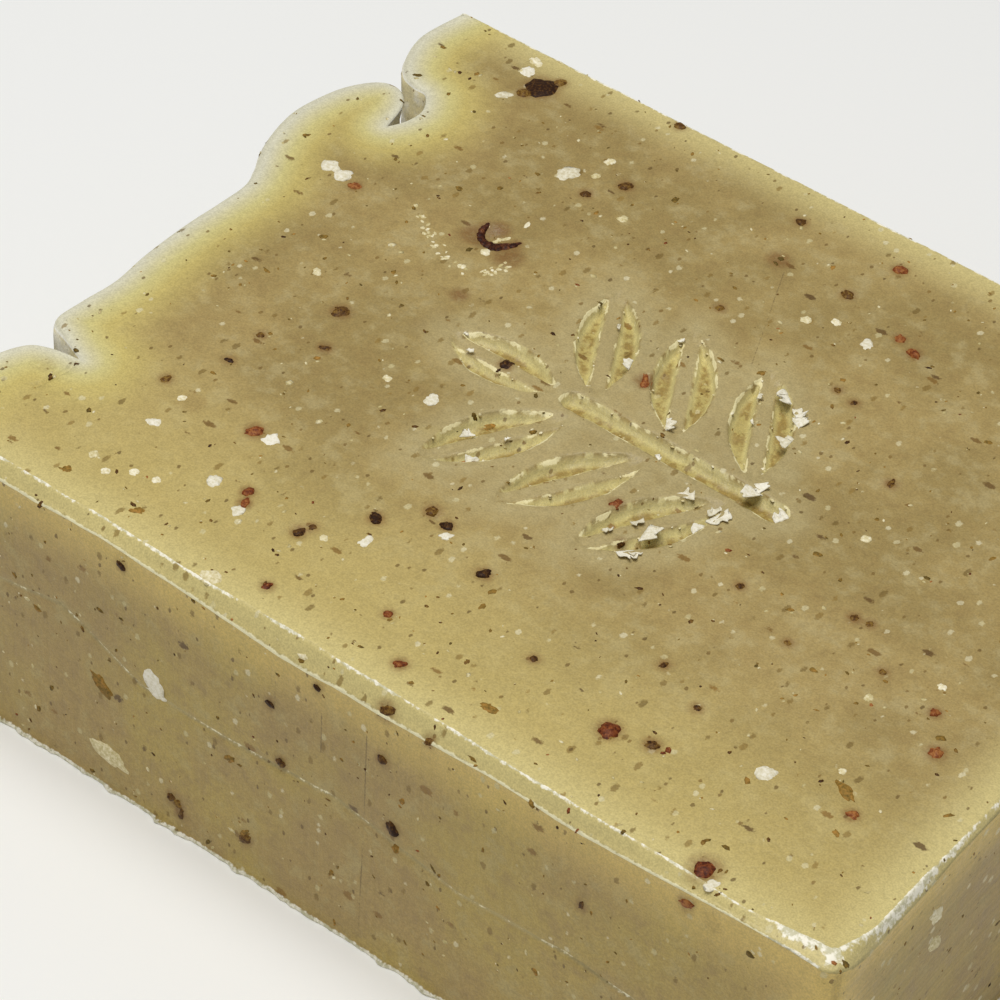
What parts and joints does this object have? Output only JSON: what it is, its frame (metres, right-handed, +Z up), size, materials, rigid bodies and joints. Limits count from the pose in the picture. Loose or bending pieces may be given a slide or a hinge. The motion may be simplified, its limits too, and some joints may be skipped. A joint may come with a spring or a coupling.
{
  "type": "shampoo bar",
  "caption": "Thick slice of hand-poured herbal shampoo soap with a wavy folded crest, planed top edges and a sprig pressed into its wide face.",
  "frame": {"origin": "middle of the bottom of the bounding box, on the surface that the bar lies on", "axes": "+X towards the flat foot of the loaf slice, -X towards the wavy crest, +Y across the mould, +Z up through the thickness to the pressed face"},
  "size_m": [0.081, 0.0636, 0.0254],
  "materials": {
    "soap": "waxy satin, khaki green soap with herb flecks, seeds and pale flakes"
  },
  "bodies": {
    "root": {"shampoo_bar": "soap"}
  },
  "joints": []
}
